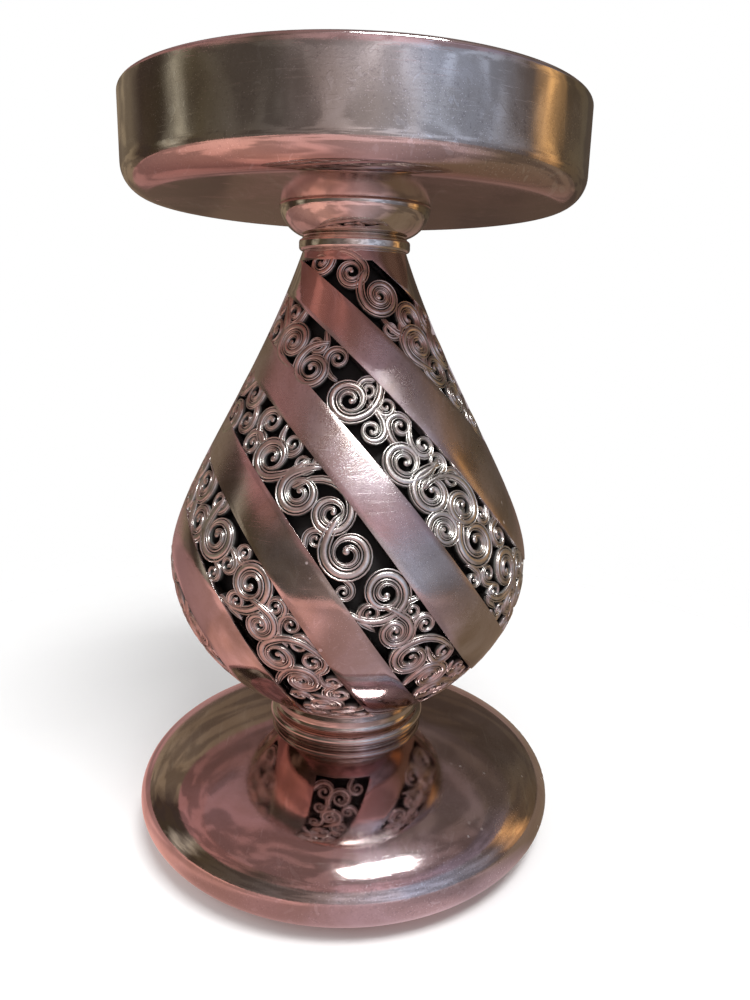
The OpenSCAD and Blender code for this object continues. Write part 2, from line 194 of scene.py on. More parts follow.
class Paint:
    """A material under construction."""

    def __init__(self, name):
        self.material = bpy.data.materials.new(name)
        self.material.use_nodes = True
        self.tree = self.material.node_tree
        self.shader = self.tree.nodes["Principled BSDF"]

    def node(self, kind, settings=None, inputs=None):
        """The one maker of nodes: settings first, then sockets by name or number."""
        n = self.tree.nodes.new(kind)
        for key, value in (settings or {}).items():
            if key == "stops":
                ramp = n.color_ramp
                while len(ramp.elements) < len(value):
                    ramp.elements.new(0.5)
                for e, (at, colour) in zip(ramp.elements, value):
                    e.position, e.color = at, (*colour, 1)
            else:
                setattr(n, key, value)
        for key, value in (inputs or {}).items():
            self.feed(n.inputs[key], value)
        return n

    def feed(self, socket, value):
        if isinstance(value, Value):
            value = value.socket
        if isinstance(value, bpy.types.NodeSocket):
            self.tree.links.new(value, socket)
        elif isinstance(value, tuple) and len(value) == 3 and socket.type == "RGBA":
            socket.default_value = (*value, 1)
        else:
            socket.default_value = value

    def set(self, **sockets):
        """Sockets of the surface shader, with _ for a blank in a name."""
        for key, value in sockets.items():
            self.feed(self.shader.inputs[key.replace("_", " ")], value)
        return self

    def place(self, scale=(1, 1, 1)):
        at = self.node("ShaderNodeTexCoord").outputs["Object"]
        n = self.node("ShaderNodeMapping", None, {"Vector": at, "Scale": scale})
        return n.outputs[0]

    def noise(self, scale, detail=4.0, rough=0.55, stretch=(1, 1, 1), warp=0.0):
        """Noise with features of about 1/scale metre."""
        n = self.node("ShaderNodeTexNoise", None, {
            "Vector": self.place(stretch), "Scale": scale, "Detail": detail,
            "Roughness": rough, "Distortion": warp})
        return Value(self, n.outputs[0])

    def cells(self, scale):
        """Distance to the nearest of points about 1/scale metre apart."""
        n = self.node("ShaderNodeTexVoronoi", {"feature": "F1"}, {
            "Vector": self.place(), "Scale": scale})
        return Value(self, n.outputs["Distance"])

    def along(self, axis):
        """Place along an axis of the piece, in metres."""
        at = self.node("ShaderNodeTexCoord").outputs["Object"]
        return Value(self, self.node("ShaderNodeSeparateXYZ", None, {0: at}).outputs[axis])

    def azimuth(self):
        """Turn about the upright axis, 0 to 1, with the front in the middle."""
        turn = self.node("ShaderNodeMath", {"operation": "ARCTAN2"}, {
            0: self.along("X"), 1: 0 - self.along("Y")})
        return Value(self, turn.outputs[0]) * (1 / TURN) + 0.5

    def attribute(self, name):
        n = self.node("ShaderNodeAttribute", {"attribute_name": name})
        return Value(self, n.outputs["Fac"])

    def between(self, value, low, high, to_low=0.0, to_high=1.0):
        """Smooth step of a value from low..high to to_low..to_high."""
        n = self.node("ShaderNodeMapRange", {"interpolation_type": "SMOOTHSTEP"}, {
            "Value": value, "From Min": low, "From Max": high,
            "To Min": to_low, "To Max": to_high})
        return Value(self, n.outputs[0])

    def mix(self, factor, a, b):
        """Colour between a and b."""
        n = self.node("ShaderNodeMix", {"data_type": "RGBA"}, {
            "Factor": factor, 6: a, 7: b})
        return n.outputs[2]

    def bump(self, height, distance, strength=1.0):
        n = self.node("ShaderNodeBump", None, {
            "Strength": strength, "Distance": distance, "Height": height})
        self.set(Normal=n.outputs[0])


def silver(name, light, dark, rough, grain, haze, low, sandy=(-20, -10, 200, 210)):
    """Worn silver plate: cloudy tarnished tone, a sandy haze with painted sparkle highlights,
    scratches and worn specks.

    `low` gives two heights in mm, between which the plate turns, going down, to a pinkish brown
    painted reflection and shade, and `sandy` the four heights between which its grain and its
    painted sparkle come and go.
    """
    p = Paint(name)
    high = p.along("Z")
    comes, full, fades, gone = (z * MM for z in sandy)
    here = p.between(high, comes, full) * p.between(high, fades, gone, 1.0, 0.0)
    grain = grain * here * p.between(p.noise(16, 3, 0.5, warp=0.6), 0.36, 0.52, 0.3, 1.0)
    cloud = p.noise(42, 5, 0.6, warp=0.8)
    fine = p.noise(3600, 2, 0.6)
    coarse = p.noise(1700, 3, 0.65)
    veil = p.between(p.noise(24, 4, 0.6, warp=1.0), 0.42, 0.66) * haze
    dust = p.between(coarse, 0.52, 0.72) * (grain + veil)
    # Painted highlight: near-white sparkle specks where the grain and haze are, standing in for
    # sun glitter on the plate.
    painted_glint = p.between(p.cells(2300), 0.24, 0.08) * (0.6 * grain + 0.8 * veil)
    chipped = p.between(p.noise(30, 2), 0.57, 0.66)
    chips = p.between(p.cells(300) + 0.12 * coarse, 0.2, 0.12) * chipped
    hair = p.between(p.noise(170, 2, 0.5, (1, 1, 14), warp=0.4), 0.62, 0.7)
    swirl = p.between(p.noise(420, 1, 0.5, (1, 0.1, 1), warp=1.2), 0.64, 0.7) * (0.3 + veil)
    # Painted reflection and shade: going down past the `low` heights the plate turns pinkish
    # brown, standing in for a pink reflection and shade on its low faces.
    low_painted_reflection = p.between(high, low[0] * MM, low[1] * MM, 1.0, 0.0)
    low_painted_reflection = low_painted_reflection * (0.6 + 0.8 * cloud)
    base = p.mix(p.between(cloud, 0.33, 0.7), dark, light)
    # pinkish brown of the painted low reflection and shade
    base = p.mix(low_painted_reflection, base, (0.50, 0.33, 0.29))
    base = p.mix(dust * 0.55, base, (0.30, 0.27, 0.28))
    # near-white painted sparkle highlight
    base = p.mix(painted_glint, base, (0.95, 0.94, 0.97))
    base = p.mix(chips + 0.25 * swirl, base, (0.86, 0.87, 0.88))
    p.set(
        Base_Color=base, Metallic=1.0,
        Roughness=rough + 0.04 * cloud + 0.07 * veil + 0.24 * grain + 0.1 * grain * fine
        + 0.2 * painted_glint + 0.3 * chips + 0.05 * hair)
    p.bump((grain + 0.12 * veil) * (fine + 0.8 * coarse) + 0.5 * chips + 0.08 * hair
           + 0.1 * swirl + 0.25 * p.noise(120, 2), 0.00003)
    return p.material


polished = silver(
    "polished silver plate", light=(0.70, 0.69, 0.68), dark=(0.52, 0.49, 0.45),
    rough=0.03, grain=0.05, haze=0.9, low=(137, 146))
turned = silver(
    "turned silver plate", light=(0.70, 0.66, 0.62), dark=(0.50, 0.43, 0.38),
    rough=0.03, grain=0.04, haze=0.3, low=(20, 24))
dome_finish = silver(
    "dome silver plate", light=(0.66, 0.59, 0.61), dark=(0.50, 0.42, 0.39),
    rough=0.03, grain=0.08, haze=0.9, low=(1, 4))
band_finish = silver(
    "band silver plate", light=(0.66, 0.62, 0.65), dark=(0.46, 0.39, 0.34),
    rough=0.05, grain=0.8, haze=0.3, low=(36, 52), sandy=(52, 66, 108, 124))


def scroll_silver():
    """Cast silver with painted light: pale greenish faces in the sunlit middle heights, pinkish
    brown faces in painted shade above and below, and painted black shade in the grooves.
    """
    p = Paint("cast scroll silver")
    depth = p.attribute("recess")
    cloud = p.noise(300, 4, 0.6)
    high = p.along("Z")
    # Painted light and shade: ribbon faces go pale greenish in the sunlit middle heights and
    # pinkish brown in painted shade above and below, with a random wobble.
    sunlit_share = p.between(high, 0.104, 0.124, 1.0, 0.0) * p.between(high, 0.045, 0.068)
    sunlit_share = sunlit_share * 0.8 + 0.25 * p.between(p.noise(38, 3, 0.5, warp=0.6), 0.4, 0.6)
    fine = p.noise(1800, 2, 0.6)
    # pale greenish face of the painted sunlit heights, then the pinkish brown face of the painted
    # shade
    sunlit_face = p.mix(p.between(cloud, 0.35, 0.7), (0.52, 0.52, 0.49), (0.80, 0.82, 0.79))
    shaded_face = p.mix(p.between(cloud, 0.35, 0.7), (0.52, 0.41, 0.37), (0.82, 0.70, 0.66))
    face = p.mix(sunlit_share, shaded_face, sunlit_face)
    # Painted shade: the grooves and deep sides of the ribbons turn near black with depth below the
    # face.
    groove_shade = p.between(depth + 0.25 * (cloud - 0.5), 0.18, 0.62)
    p.set(
        Base_Color=p.mix(groove_shade, face, (0.014, 0.011, 0.010)),
        Metallic=1 - 0.75 * groove_shade,
        Roughness=0.24 + 0.12 * fine + 0.4 * groove_shade)
    p.bump(fine + 0.6 * cloud, 0.00001)
    return p.material


def plain(name, colour, other, metal, rough, scale, bump):
    """A quiet material of two tones with a fine relief, `bump` in metres."""
    p = Paint(name)
    tone = p.noise(scale, 4, 0.6)
    p.set(Base_Color=p.mix(tone, colour, other), Metallic=metal,
          Roughness=rough + 0.15 * tone)
    p.bump(p.noise(scale * 4, 3), bump)
    return p.material


scroll_finish = scroll_silver()
core_black = plain(
    "black core", (0.006, 0.005, 0.005), (0.02, 0.017, 0.016),
    metal=0.0, rough=0.75, scale=300, bump=0.00005)
felt_green = plain(
    "felt", (0.016, 0.05, 0.03), (0.035, 0.085, 0.05),
    metal=0.0, rough=0.9, scale=1400, bump=0.0004)
cast_weight = plain(
    "cast weight", (0.10, 0.10, 0.105), (0.2, 0.2, 0.2),
    metal=0.8, rough=0.55, scale=260, bump=0.0002)
zinc = plain(
    "zinc plate", (0.55, 0.55, 0.56), (0.68, 0.68, 0.68),
    metal=1.0, rough=0.25, scale=400, bump=0.00003)


# ------------------------------------------------------------ mesh helpers
def linked(bm, name, material):
    """Turns a bmesh in metres into an object of one material."""
    mesh = bpy.data.meshes.new(name)
    bm.to_mesh(mesh)
    bm.free()
    obj = bpy.data.objects.new(name, mesh)
    bpy.context.scene.collection.objects.link(obj)
    mesh.materials.append(material)
    return obj


def piece(bm, name, material, node):
    """A smooth piece on the body that stands for one CAD node."""
    obj = linked(bm, name, material)
    for f in obj.data.polygons:
        f.use_smooth = True
    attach(obj, "root")
    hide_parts(node)
    return obj


def modifier(obj, kind, **settings):
    """Adds a modifier with the given settings."""
    m = obj.modifiers.new(kind.title(), kind)
    for key, value in settings.items():
        setattr(m, key, value)


def half_turn(bm):
    """Turns everything to the back about the upright axis."""
    bmesh.ops.rotate(bm, verts=bm.verts, cent=(0, 0, 0), matrix=Matrix.Rotation(math.pi, 3, "Z"))


def arc(cx, cz, r, start, end, n):
    """Points (radius, height) of an arc, angles in degrees."""
    return [
        (cx + r * math.cos(math.radians(start + (end - start) * i / n)),
         cz + r * math.sin(math.radians(start + (end - start) * i / n)))
        for i in range(n + 1)
    ]


def eased(line, step):
    """The same outline with its long stretches cut into short ones."""
    out = [line[0]]
    for a, b in zip(line, line[1:]):
        n = max(1, math.ceil(math.dist(a, b) / step))
        out += [(a[0] + (b[0] - a[0]) * i / n, a[1] + (b[1] - a[1]) * i / n)
                for i in range(1, n + 1)]
    return out


def spun(line, steps=240):
    """A bmesh turned from a closed outline of (radius, height) about the upright axis."""
    bm = bmesh.new()
    verts = [bm.verts.new((r * MM, 0, z * MM)) for r, z in line]
    edges = [bm.edges.new(pair) for pair in zip(verts, verts[1:] + verts[:1])]
    bmesh.ops.spin(
        bm, geom=verts + edges, cent=(0, 0, 0), axis=(0, 0, 1), angle=TURN,
        steps=steps, use_merge=True, use_duplicate=False)
    bmesh.ops.remove_doubles(bm, verts=bm.verts, dist=SAME)
    bmesh.ops.recalc_face_normals(bm, faces=bm.faces)
    return bm


def inset_line(line, d):
    """The outline moved to the right of its direction of travel."""
    out = []
    for i, p in enumerate(line):
        a, b = line[max(i - 1, 0)], line[min(i + 1, len(line) - 1)]
        n = math.dist(a, b)
        out.append((p[0] + d * (b[1] - a[1]) / n, p[1] - d * (b[0] - a[0]) / n))
    return out


# ------------------------------------------------------------- turned parts
def make_cup():
    """Turned drum with a rounded rim and a bolt hole in its floor."""
    r, t = CUP_R, CUP_WALL / 2
    inner = CUP_CORNER_R - CUP_FLOOR
    floor = CUP_Z + CUP_FLOOR
    line = [(BOLT_HEAD_R, floor), (BOLT_HOLE_R, CUP_Z)]
    line += arc(r - CUP_CORNER_R, CUP_Z + CUP_CORNER_R, CUP_CORNER_R, -90, 0, 14)
    line += arc(r - t, STAND_H - t, t, 0, 180, 12)
    line += arc(r - CUP_WALL - inner, floor + inner, inner, 0, -90, 10)
    return piece(spun(eased(line, 1.6)), "candle_cup", polished, "cup")


def make_knob():
    """Bowl that is widest under the cup, on a short groove."""
    line = [(BOLT_HOLE_R, KNOB_Z), (GROOVE_R, KNOB_Z), (GROOVE_R, KNOB_Z + 0.55)]
    line += curve((GROOVE_R + 0.2, KNOB_Z + 0.65), (GROOVE_R + 1.9, KNOB_Z + 1.1),
                  (KNOB_R, KNOB_Z + 3.4), (KNOB_R, CUP_Z), 28)
    line += [(BOLT_HOLE_R, CUP_Z)]
    return piece(spun(eased(line, 0.8)), "bowl_knob", turned, "knob")


def make_neck_ring():
    """Ring with rounded edges between the knob and the pear."""
    r, t = NECK_RING_R, 0.7
    line = [(BOLT_HOLE_R, PEAR_TOP_Z)]
    line += arc(r - t, PEAR_TOP_Z + t, t, -90, 0, 8)
    line += arc(r - t, KNOB_Z - t, t, 0, 90, 8)
    line += [(BOLT_HOLE_R, KNOB_Z)]
    return piece(spun(eased(line, 0.8)), "neck_collar", turned, "neck_ring")


def make_lower_collar():
    """Bead on the dome, and a cove that rises to the pear."""
    bead, groove = 1.5, 0.3
    bead_z = COLLAR_Z + groove + bead
    cove = (BEAD_R - bead, bead_z + bead)
    line = [(BOLT_HOLE_R, COLLAR_Z), (COLLAR_FOOT_R, COLLAR_Z), (COLLAR_FOOT_R, COLLAR_Z + groove)]
    line += arc(BEAD_R - bead, bead_z, bead, -80, 90, 16)
    line += curve(cove, (cove[0] - 0.9, cove[1] + 0.3), (PEAR_FOOT_R - 0.3, PEAR_FOOT_Z - 1.5),
                  (PEAR_FOOT_R, PEAR_FOOT_Z), 16, 1)
    line += [(BOLT_HOLE_R, PEAR_FOOT_Z)]
    return piece(spun(eased(line, 0.7)), "beaded_collar", turned, "lower_collar")


def make_foot():
    """Thin dome over a round edge, with a lip turned in beside the felt."""
    outer = [(BOLT_HOLE_R, COLLAR_Z), (COLLAR_FOOT_R - 1, COLLAR_Z)]
    outer += curve((COLLAR_FOOT_R + 1, COLLAR_Z - 0.2), (FOOT_R * 0.863, FOOT_EDGE_Z + 11.2),
                   (FOOT_R, FOOT_EDGE_Z + 5.2), (FOOT_R, FOOT_EDGE_Z), 48)
    outer += curve((FOOT_R, FOOT_EDGE_Z), (FOOT_R, FOOT_EDGE_Z * 0.6),
                   (FOOT_R * 0.92, FELT_T + 0.6), (LIP_BEND_R, FELT_T), 24, 1)
    outer += [(LIP_R, FELT_T)]
    outer = eased(outer, 1.4)
    line = outer + list(reversed(inset_line(outer, FOOT_WALL)))
    return piece(spun(line, 288), "domed_foot", dome_finish, "foot_shell")


def make_core():
    """Black liner behind the openwork."""
    line = PEAR_LINE[::3]
    outer, inner = (
        [p for p in inset_line(line, -depth) if PEAR_FOOT_Z <= p[1] <= PEAR_TOP_Z]
        for depth in (CORE_DEPTH, CORE_DEPTH + CORE_WALL))
    loop = outer + list(reversed(inner))
    return piece(spun(loop, 120), "black_liner", core_black, "inner_core")


# ---------------------------------------------------------------- pear body
BAND_COLUMNS = 7
STRIP_COLUMNS = 3
BODY_ROWS = 150
FOOT_ROWS = 5
TOP_ROWS = 3
BAND_BEVEL = 0.35


def body_columns(z):
    """Azimuths of the columns at a height, and which of them stand in a window."""
    stops = [-math.pi / 2, -WINDOW_A]
    for k in sorted(STRIPS):
        stops += strip_edges(k, z)
    stops += [WINDOW_A, math.pi / 2]
    out, windows = [stops[0]], []
    for i, (a, b) in enumerate(zip(stops, stops[1:])):
        strip = 2 <= i < len(stops) - 2 and i % 2 == 0
        n = STRIP_COLUMNS if strip else BAND_COLUMNS
        out += [a + (b - a) * j / n for j in range(1, n + 1)]
        windows += [strip] * n
    return out, windows


def make_body_half(name, node, turned):
    """Half shell on a grid whose columns follow the edges of the strips."""
    margin = WINDOW_FOOT_Z - PEAR_FOOT_Z
    rows = [PEAR_FOOT_Z + margin * i / FOOT_ROWS for i in range(FOOT_ROWS)]
    span = WINDOW_TOP_Z - WINDOW_FOOT_Z
    rows += [WINDOW_FOOT_Z + span * i / BODY_ROWS for i in range(BODY_ROWS + 1)]
    margin = PEAR_TOP_Z - WINDOW_TOP_Z
    rows += [WINDOW_TOP_Z + margin * i / TOP_ROWS for i in range(1, TOP_ROWS + 1)]
    windows = body_columns(rows[0])[1]
    bm = bmesh.new()
    bmesh.ops.create_grid(
        bm, x_segments=len(windows), y_segments=len(rows) - 1, size=1)
    bm.verts.ensure_lookup_table()
    wide = len(windows) + 1
    order = sorted(bm.verts, key=lambda v: (round(v.co.y, 5), v.co.x))
    cell = {}
    for i, z in enumerate(rows):
        columns = body_columns(z)[0]
        for j in range(wide):
            v = order[i * wide + j]
            v.co = on_pear(columns[j], z)
            cell[v] = (i, j)
    gone = []
    for f in bm.faces:
        i = min(cell[v][0] for v in f.verts)
        j = min(cell[v][1] for v in f.verts)
        if windows[j] and WINDOW_FOOT_Z - SAME <= rows[i] < WINDOW_TOP_Z - SAME:
            gone.append(f)
    bmesh.ops.delete(bm, geom=gone, context="FACES")
    bmesh.ops.remove_doubles(bm, verts=bm.verts, dist=2 * SAME)
    bmesh.ops.dissolve_degenerate(bm, edges=bm.edges, dist=SAME)
    bmesh.ops.recalc_face_normals(bm, faces=bm.faces)
    test = max(bm.faces, key=lambda f: f.calc_area())
    centre = test.calc_center_median()
    if test.normal.dot(Vector((centre.x, centre.y, 0))) < 0:
        bmesh.ops.reverse_faces(bm, faces=bm.faces)
    if turned:
        half_turn(bm)
    obj = piece(bm, name, band_finish, node)
    modifier(obj, "SOLIDIFY", thickness=SHELL_WALL * MM, offset=-1, use_even_offset=True)
    modifier(obj, "BEVEL", width=BAND_BEVEL * MM, segments=2, limit_method="ANGLE",
             angle_limit=math.radians(50))
    return obj


# ------------------------------------------------------------------ scrolls
SCROLL_T = 1.7
GROOVE = -0.36
# ribbon section: [share of the width from the outer side, height in mm]
SECTION = [
    (0.0, -SCROLL_T), (0.0, -0.16), (0.04, -0.03), (0.12, -0.01), (0.155, GROOVE),
    (0.235, GROOVE), (0.275, -0.04), (0.38, 0.05), (0.5, 0.08), (0.62, 0.05),
    (0.725, -0.04), (0.765, GROOVE), (0.845, GROOVE), (0.88, -0.01), (0.96, -0.03),
    (1.0, -0.16), (1.0, -SCROLL_T),
]
# kind of scroll: whole turns, radius ratio of a turn, width of the open sickle
KINDS = {"full": (2.1, 0.56, 0.0), "moon": (1.95, 0.55, 0.6), "curl": (1.4, 0.42, 0.4)}
COIL_STEPS = 24  # steps of a whole turn
COIL_GAP = 0.1  # between the points of the section before the ribbon is wound
RECESS_FROM, RECESS_OVER = 0.1, 0.25  # depth at which the painted groove shade starts, and grows to full
RIBBON = 0.9  # share of the way to the next turn that the ribbon is wide
patterns = {}


def coil(kind, tail, spread):
    """A ribbon that winds in from a loose arm to an eye, flat, radius 1 in plan.

    The arm runs `tail` turns back from the outermost point and leaves the
    round by `spread` radii. Heights are in mm.
    """
    key = (kind, tail, spread)
    if key in patterns:
        return patterns[key]
    turns, ratio, sickle = KINDS[kind]
    count = math.ceil((turns + tail) * COIL_STEPS)
    bm = bmesh.new()
    loop = [bm.verts.new((1 + COIL_GAP * j, 0, 0)) for j in range(len(SECTION))]
    edges = [bm.edges.new(pair) for pair in zip(loop, loop[1:] + loop[:1])]
    bmesh.ops.spin(
        bm, geom=loop + edges, cent=(0, 0, 0), axis=(0, 0, 1), dvec=(0, 0, 1),
        angle=TURN * (turns + tail), steps=count, use_duplicate=False)

    def edge(t):
        """Radius of the ribbon's outer edge, nearly round at first."""
        return ratio ** (t ** 1.3)

    full = 1 - edge(RIBBON)
    for v in bm.verts:
        share, h = SECTION[round((math.hypot(v.co.x, v.co.y) - 1) / COIL_GAP)]
        t = -tail + (turns + tail) * round(v.co.z) / count
        if t < 0:
            loose = -t / tail
            outer = 1 + spread * loose ** 1.6
            width = full * (1 - 0.45 * loose ** 3)
            h -= 0.1 * loose ** 3
        else:
            outer = edge(t)
            width = outer - edge(t + RIBBON)
        open_up = sickle * math.exp(-((turns - t - 0.85) / 0.3) ** 2)
        r = outer - share * width * (1 - open_up)
        a = TURN * t
        v.co = (r * math.cos(a), r * math.sin(a), h)
    rims = [e for e in bm.edges if len(e.link_faces) == 1]
    bmesh.ops.holes_fill(bm, edges=rims, sides=0)
    eye = edge(turns) * 0.52
    dot = bmesh.ops.create_uvsphere(bm, u_segments=14, v_segments=8, radius=1)["verts"]
    bmesh.ops.scale(bm, verts=dot, vec=(eye, eye, 0.45))
    off = 0.85 * eye
    bmesh.ops.translate(bm, verts=dot, vec=(
        math.cos(TURN * turns) * off, math.sin(TURN * turns) * off, -0.42))
    mesh = bpy.data.meshes.new("scroll pattern")
    bm.to_mesh(mesh)
    bm.free()
    patterns[key] = mesh
    return mesh


def add_scroll(bm, a0, z0, size, hand, start, tail, spread, kind, level):
    """Lays one scroll of a radius in mm on the pear, `start` in degrees."""
    before = len(bm.verts)
    bm.from_mesh(coil(kind, tail, spread))
    bm.verts.ensure_lookup_table()
    recess = bm.verts.layers.float["recess"]
    rise = math.hypot(1, pear_slope(z0))
    turn = math.radians(start)
    along, across = math.cos(turn) * size, math.sin(turn) * size
    for v in bm.verts[before:]:
        x, y, h = v.co.x, v.co.y * hand, v.co.z
        v[recess] = max(0.0, min(1.0, (-h - RECESS_FROM) / RECESS_OVER))
        x, y = x * along - y * across, x * across + y * along
        z = z0 + y / rise
        v.co = on_pear(a0 + x / pear_r(z), z, h + level)


# The pattern of every strip: height, share of the strip's width from its left
# edge, radius, winding, direction of the outermost point, arm and its spread.
PATTERN = (
    (128.1, 0.24, 2.7, -1, 0, 0.20, 0.5, "curl"),
    (126.0, 0.49, 3.1, -1, 50, 0.25, 0.7, "moon"),
    (121.6, 0.54, 3.8, 1, 185, 0.20, 0.3, "full"),
    (117.4, 0.62, 3.6, 1, 290, 0.30, 0.5, "moon"),
    (112.4, 0.36, 4.0, -1, 240, 0.15, 0.3, "full"),
    (109.6, 0.77, 2.4, -1, 185, 0.25, 0.6, "curl"),
    (107.5, 0.27, 3.5, 1, 175, 0.30, 0.4, "moon"),
    (102.3, 0.41, 4.0, -1, 290, 0.40, 0.9, "moon"),
    (104.1, 0.79, 2.3, 1, 60, 0.05, 0.3, "curl"),
    (96.8, 0.34, 2.6, -1, 10, 0.25, 0.6, "curl"),
    (97.4, 0.76, 2.8, -1, 190, 0.25, 0.6, "curl"),
    (91.2, 0.40, 4.0, -1, 290, 0.20, 0.6, "moon"),
    (93.8, 0.84, 2.4, 1, 205, 0.25, 0.5, "curl"),
    (85.4, 0.42, 4.1, 1, 110, 0.15, 0.3, "moon"),
    (82.4, 0.66, 3.7, -1, 0, 0.42, 0.95, "moon"),
    (75.6, 0.51, 4.6, 1, 155, 0.15, 0.3, "moon"),
    (68.6, 0.62, 4.1, 1, 325, 0.33, 0.6, "moon"),
    (64.7, 0.24, 2.3, -1, 250, 0.10, 0.3, "curl"),
    (69.0, 0.10, 1.9, -1, 60, 0.15, 0.4, "curl"),
    (60.9, 0.39, 3.3, -1, 60, 0.15, 0.4, "full"),
    (61.8, 0.84, 2.2, -1, 170, 0.25, 0.8, "curl"),
    (54.5, 0.35, 3.7, 1, 110, 0.30, 1.0, "moon"),
    (48.6, 0.42, 3.8, -1, 150, 0.15, 0.3, "full"),
    (48.9, 0.84, 2.0, 1, 200, 0.20, 0.4, "curl"),
    (41.2, 0.47, 3.3, -1, 60, 0.15, 0.3, "full"),
    (36.5, 0.55, 2.8, 1, 200, 0.20, 0.4, "moon"),
)
# Past this azimuth the strips widen and the pattern is filled out scroll by scroll.
PATTERN_A = math.radians(58)
LEAST_A = math.radians(3)  # a strip narrower than this is closed
LEVEL_STEP = 0.25
FILL_SIZES = (4.1, 3.5, 2.8, 2.1)
FILL_STEP, FILL_ACROSS = 0.8, 1.5  # mm between the places that are tried
EDGE_SHARE = 0.72  # of a radius kept from the bands
APART_SHARE = 0.93  # of two radii kept between scrolls
SMALL = 2.9  # scrolls under this radius are curls, and lie deeper
SCROLL_SCALE = 1.3  # laid larger than planned, so that ribbons overlap


def strip_levels(k):
    """Heights between which strip k is open."""
    count = int((WINDOW_TOP_Z - WINDOW_FOOT_Z) / LEVEL_STEP) + 1
    open_at = []
    for z in (WINDOW_FOOT_Z + LEVEL_STEP * i for i in range(count)):
        left, right = strip_edges(k, z)
        if right - left > LEAST_A:
            open_at.append(z)
    return open_at[0], open_at[-1]


def edge_room(k, a, z):
    """Distance in mm from a place on strip k to the nearest band, about."""
    left, right = strip_edges(k, z)
    slant = math.sin(heading(k, z))
    return min(a - left, right - a) * pear_r(z) * slant


def strip_scrolls(k, rng):
    """All scrolls of strip k: the pattern first, then the largest that fit between."""
    low, high = strip_levels(k)
    laid = []
    for z, u, size, hand, start, tail, spread, kind in PATTERN:
        if not low < z < high:
            continue
        a = azimuth(edge_x(z) + k * STRIP_PITCH + u * STRIP_W, z)
        if abs(a) < PATTERN_A:
            laid.append((a, z, size, hand, start, tail, spread, kind))
    for size in FILL_SIZES:
        end_room = size * 0.6
        z = low
        while z < high:
            left, right = strip_edges(k, z)
            across = max(1, round((right - left) * pear_r(z) / FILL_ACROSS))
            for j in range(across + 1):
                a = left + (right - left) * j / across
                if edge_room(k, a, z) < size * EDGE_SHARE:
                    continue
                if not low + end_room < z < high - end_room:
                    continue
                here = on_pear(a, z) / MM
                if all((on_pear(b[0], b[1]) / MM - here).length > (b[2] + size) * APART_SHARE
                       for b in laid):
                    hand, start = rng.choice((-1, 1)), rng.uniform(0, 360)
                    kind = "curl" if size < SMALL else rng.choice(("moon", "full"))
                    laid.append((a, z, size, hand, start, 0.15, 0.35, kind))
            z += FILL_STEP
    return laid


def make_strip(k, number, turned):
    """The scrolls of strip k, on the front half or turned to the back."""
    rng = random.Random(40 + number)
    bm = bmesh.new()
    bm.verts.layers.float.new("recess")
    for i, (a, z, size, hand, start, tail, spread, kind) in enumerate(strip_scrolls(k, rng)):
        level = -0.02 - (0.3 if size < SMALL else 0.16 * (i % 2))
        add_scroll(bm, a, z, size * SCROLL_SCALE, hand, start, tail, spread, kind, level)
    if turned:
        half_turn(bm)
    bm.normal_update()
    bmesh.ops.recalc_face_normals(bm, faces=bm.faces)
    side = "back" if turned else "front"
    return piece(bm, f"scrollwork_{side}_{number}", scroll_finish,
                 f"scroll_{side}_{number}")


make_cup()
make_knob()
make_neck_ring()
make_lower_collar()
make_foot()
make_core()
make_body_half("banded_shell_front", "body_front", False)
make_body_half("banded_shell_back", "body_back", True)
for index, k in enumerate(STRIPS):
    make_strip(k, index + 1, False)
    make_strip(k, index + 1, True)
for pattern in patterns.values():
    bpy.data.meshes.remove(pattern)

# Hidden pieces keep the meshes of the CAD and get a material only.
CARRIED = {"foot_weight": cast_weight, "washer": zinc, "nut": zinc, "tie_bolt": zinc,
           "felt_pad": felt_green}
for node, material in CARRIED.items():
    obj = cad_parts[node]
    obj.data.materials.clear()
    obj.data.materials.append(material)


# ------------------------------------------------------------------- stage
LIGHT_LEVEL = 0.55
SCREEN_R = 0.75
SCREEN_FOOT, SCREEN_SPLIT, SCREEN_TOP = -0.02, 0.44, 0.725
FLAT_R = 0.76
CENTRE = (0, 0, 0.08)
CAMERA_PLACE = (-2.407, -171.1, 117.03)  # mm
CAMERA_PITCH, CAMERA_ROLL, CAMERA_YAW = 0.230, 0.025, 0.047
LENS, SENSOR = 27.82, 36


def soft_light(name, place, target, size, power):
    """White area lamp that looks at a target."""
    lamp = bpy.data.lights.new(name, "AREA")
    lamp.shape = "RECTANGLE"
    lamp.size, lamp.size_y = size
    lamp.energy = power
    obj = bpy.data.objects.new(name, lamp)
    obj.location = place
    obj.rotation_euler = (Vector(target) - Vector(place)).to_track_quat("-Z", "Y").to_euler()
    bpy.context.scene.collection.objects.link(obj)
    return obj


